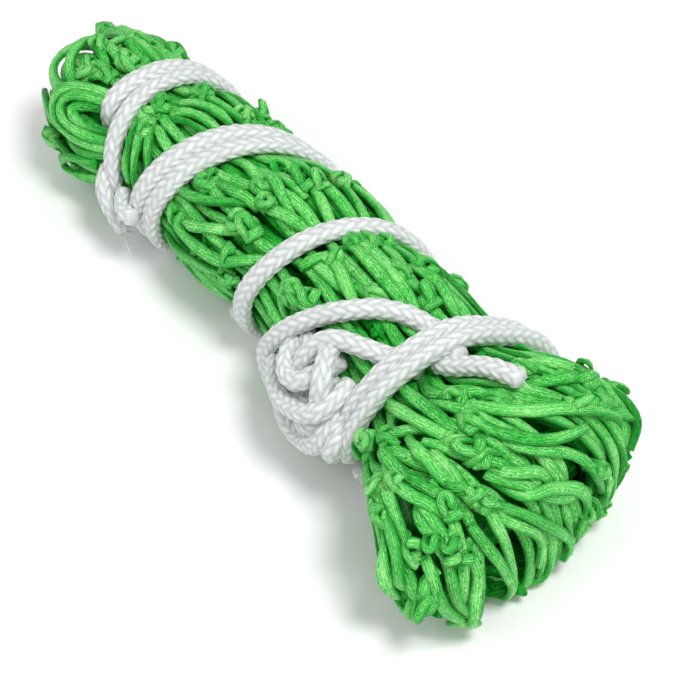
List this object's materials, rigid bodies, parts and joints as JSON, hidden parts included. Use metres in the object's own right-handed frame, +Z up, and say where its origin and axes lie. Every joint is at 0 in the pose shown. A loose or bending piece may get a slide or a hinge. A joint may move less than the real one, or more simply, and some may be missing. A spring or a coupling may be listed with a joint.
{
  "type": "mesh ball bag",
  "caption": "Empty drawcord net bag for balls, knotted netting folded lengthwise into a hank and lashed with its braided cord.",
  "frame": {"origin": "on the floor under the hank, on the flat underside of its main section", "axes": "+X along the hank from the folded head to the flared foot, +Z up from the floor the hank rests on, +Y to the side away from the knot"},
  "size_m": [0.2131, 0.0827, 0.0597],
  "materials": {
    "net_twine": "braided polyethylene twine, satin with fine bright filament streaks",
    "inner_net": "the same twine in the shaded inner layers",
    "drawcord": "white braided polypropylene cord, soft satin"
  },
  "bodies": {
    "main": {"cord_lead_lower": "drawcord", "cord_lead_upper": "drawcord", "cord_turn_3": "drawcord", "cord_turn_4_front": "drawcord", "cord_turn_4_rear": "drawcord", "foot_core": "inner_net", "foot_fold_7": "net_twine", "foot_fold_8": "net_twine", "knot_bight": "drawcord", "knot_hitch": "drawcord", "main_core": "inner_net", "main_fold_1": "net_twine", "main_fold_2": "net_twine", "main_fold_3": "net_twine", "main_fold_4": "net_twine", "main_fold_5": "net_twine", "main_fold_6": "net_twine", "main_fold_7": "net_twine", "main_fold_8": "net_twine"},
    "middle": {"cord_turn_2_front": "drawcord", "cord_turn_2_rear": "drawcord", "mid_core": "inner_net", "mid_fold_1": "net_twine", "mid_fold_2": "net_twine", "mid_fold_3": "net_twine", "mid_fold_4": "net_twine", "mid_fold_5": "net_twine", "mid_fold_6": "net_twine"},
    "head": {"cord_turn_1_front": "drawcord", "cord_turn_1_rear": "drawcord", "head_core": "inner_net", "head_fold_1": "net_twine", "head_fold_2": "net_twine", "head_fold_3": "net_twine", "head_fold_4": "net_twine", "head_fold_5": "net_twine", "head_fold_6": "net_twine"},
    "foot_lobe_1": {"foot_fold_1": "net_twine"},
    "foot_lobe_2": {"foot_fold_2": "net_twine"},
    "foot_lobe_3": {"foot_fold_3": "net_twine"},
    "foot_lobe_4": {"foot_fold_4": "net_twine"},
    "foot_lobe_5": {"foot_fold_5": "net_twine"},
    "foot_lobe_6": {"foot_fold_6": "net_twine"},
    "head_mouth_loop_side": {"head_loop_side": "net_twine"},
    "head_mouth_loop_upper": {"head_loop_upper": "net_twine"},
    "head_mouth_loop_back": {"head_loop_back": "net_twine"},
    "long_end": {"cord_long_end": "drawcord"},
    "short_end": {"cord_short_end": "drawcord"}
  },
  "joints": [
    {"name": "middle_flex", "type": "hinge", "parent": "main", "child": "middle", "pos_m": [-0.0195, 0, 0.022], "axis": [0, 0, 1], "range_deg": [-12, 12]},
    {"name": "head_flex", "type": "hinge", "parent": "middle", "child": "head", "pos_m": [-0.059, 0, 0.022], "axis": [0, 0, 1], "range_deg": [-12, 12]},
    {"name": "foot_lobe_1_spread", "type": "hinge", "parent": "main", "child": "foot_lobe_1", "pos_m": [0.077, 0.02443, 0.02565], "axis": [0, 0.0006, 1], "range_deg": [0, 12], "stiffness_Nm_per_rad": 0.01},
    {"name": "foot_lobe_2_spread", "type": "hinge", "parent": "main", "child": "foot_lobe_2", "pos_m": [0.077, 0.01385, 0.04298], "axis": [0, -0.5383, 0.8427], "range_deg": [0, 12], "stiffness_Nm_per_rad": 0.01},
    {"name": "foot_lobe_3_spread", "type": "hinge", "parent": "main", "child": "foot_lobe_3", "pos_m": [0.077, -0.01102, 0.05151], "axis": [0, -0.9829, 0.1844], "range_deg": [0, 12], "stiffness_Nm_per_rad": 0.01},
    {"name": "foot_lobe_4_spread", "type": "hinge", "parent": "main", "child": "foot_lobe_4", "pos_m": [0.077, -0.03857, 0.04773], "axis": [0, -0.7578, -0.6525], "range_deg": [0, 12], "stiffness_Nm_per_rad": 0.01},
    {"name": "foot_lobe_5_spread", "type": "hinge", "parent": "main", "child": "foot_lobe_5", "pos_m": [0.077, -0.05569, 0.03384], "axis": [0, -0.2314, -0.9729], "range_deg": [0, 12], "stiffness_Nm_per_rad": 0.01},
    {"name": "foot_lobe_6_spread", "type": "hinge", "parent": "main", "child": "foot_lobe_6", "pos_m": [0.077, -0.05603, 0.01627], "axis": [0, 0.2313, -0.9729], "range_deg": [0, 12], "stiffness_Nm_per_rad": 0.01},
    {"name": "head_loop_side_splay", "type": "hinge", "parent": "head", "child": "head_mouth_loop_side", "pos_m": [-0.1085, -0.01622, 0.01829], "axis": [0, -0.225, 0.9744], "range_deg": [0, 20], "stiffness_Nm_per_rad": 0.001},
    {"name": "head_loop_upper_splay", "type": "hinge", "parent": "head", "child": "head_mouth_loop_upper", "pos_m": [-0.1067, -0.0078, 0.03244], "axis": [0, 0.9397, 0.342], "range_deg": [0, 20], "stiffness_Nm_per_rad": 0.001},
    {"name": "head_loop_back_splay", "type": "hinge", "parent": "head", "child": "head_mouth_loop_back", "pos_m": [-0.104, 0.01012, 0.02717], "axis": [0, 0.454, -0.891], "range_deg": [0, 20], "stiffness_Nm_per_rad": 0.001},
    {"name": "long_end_lift", "type": "hinge", "parent": "main", "child": "long_end", "pos_m": [0.06, -0.02008, 0.05434], "axis": [0.4165, -0.9091, 0], "range_deg": [0, 60]},
    {"name": "short_end_lift", "type": "hinge", "parent": "main", "child": "short_end", "pos_m": [0.0575, -0.01131, 0.05445], "axis": [0.4749, -0.88, 0], "range_deg": [0, 30]}
  ]
}
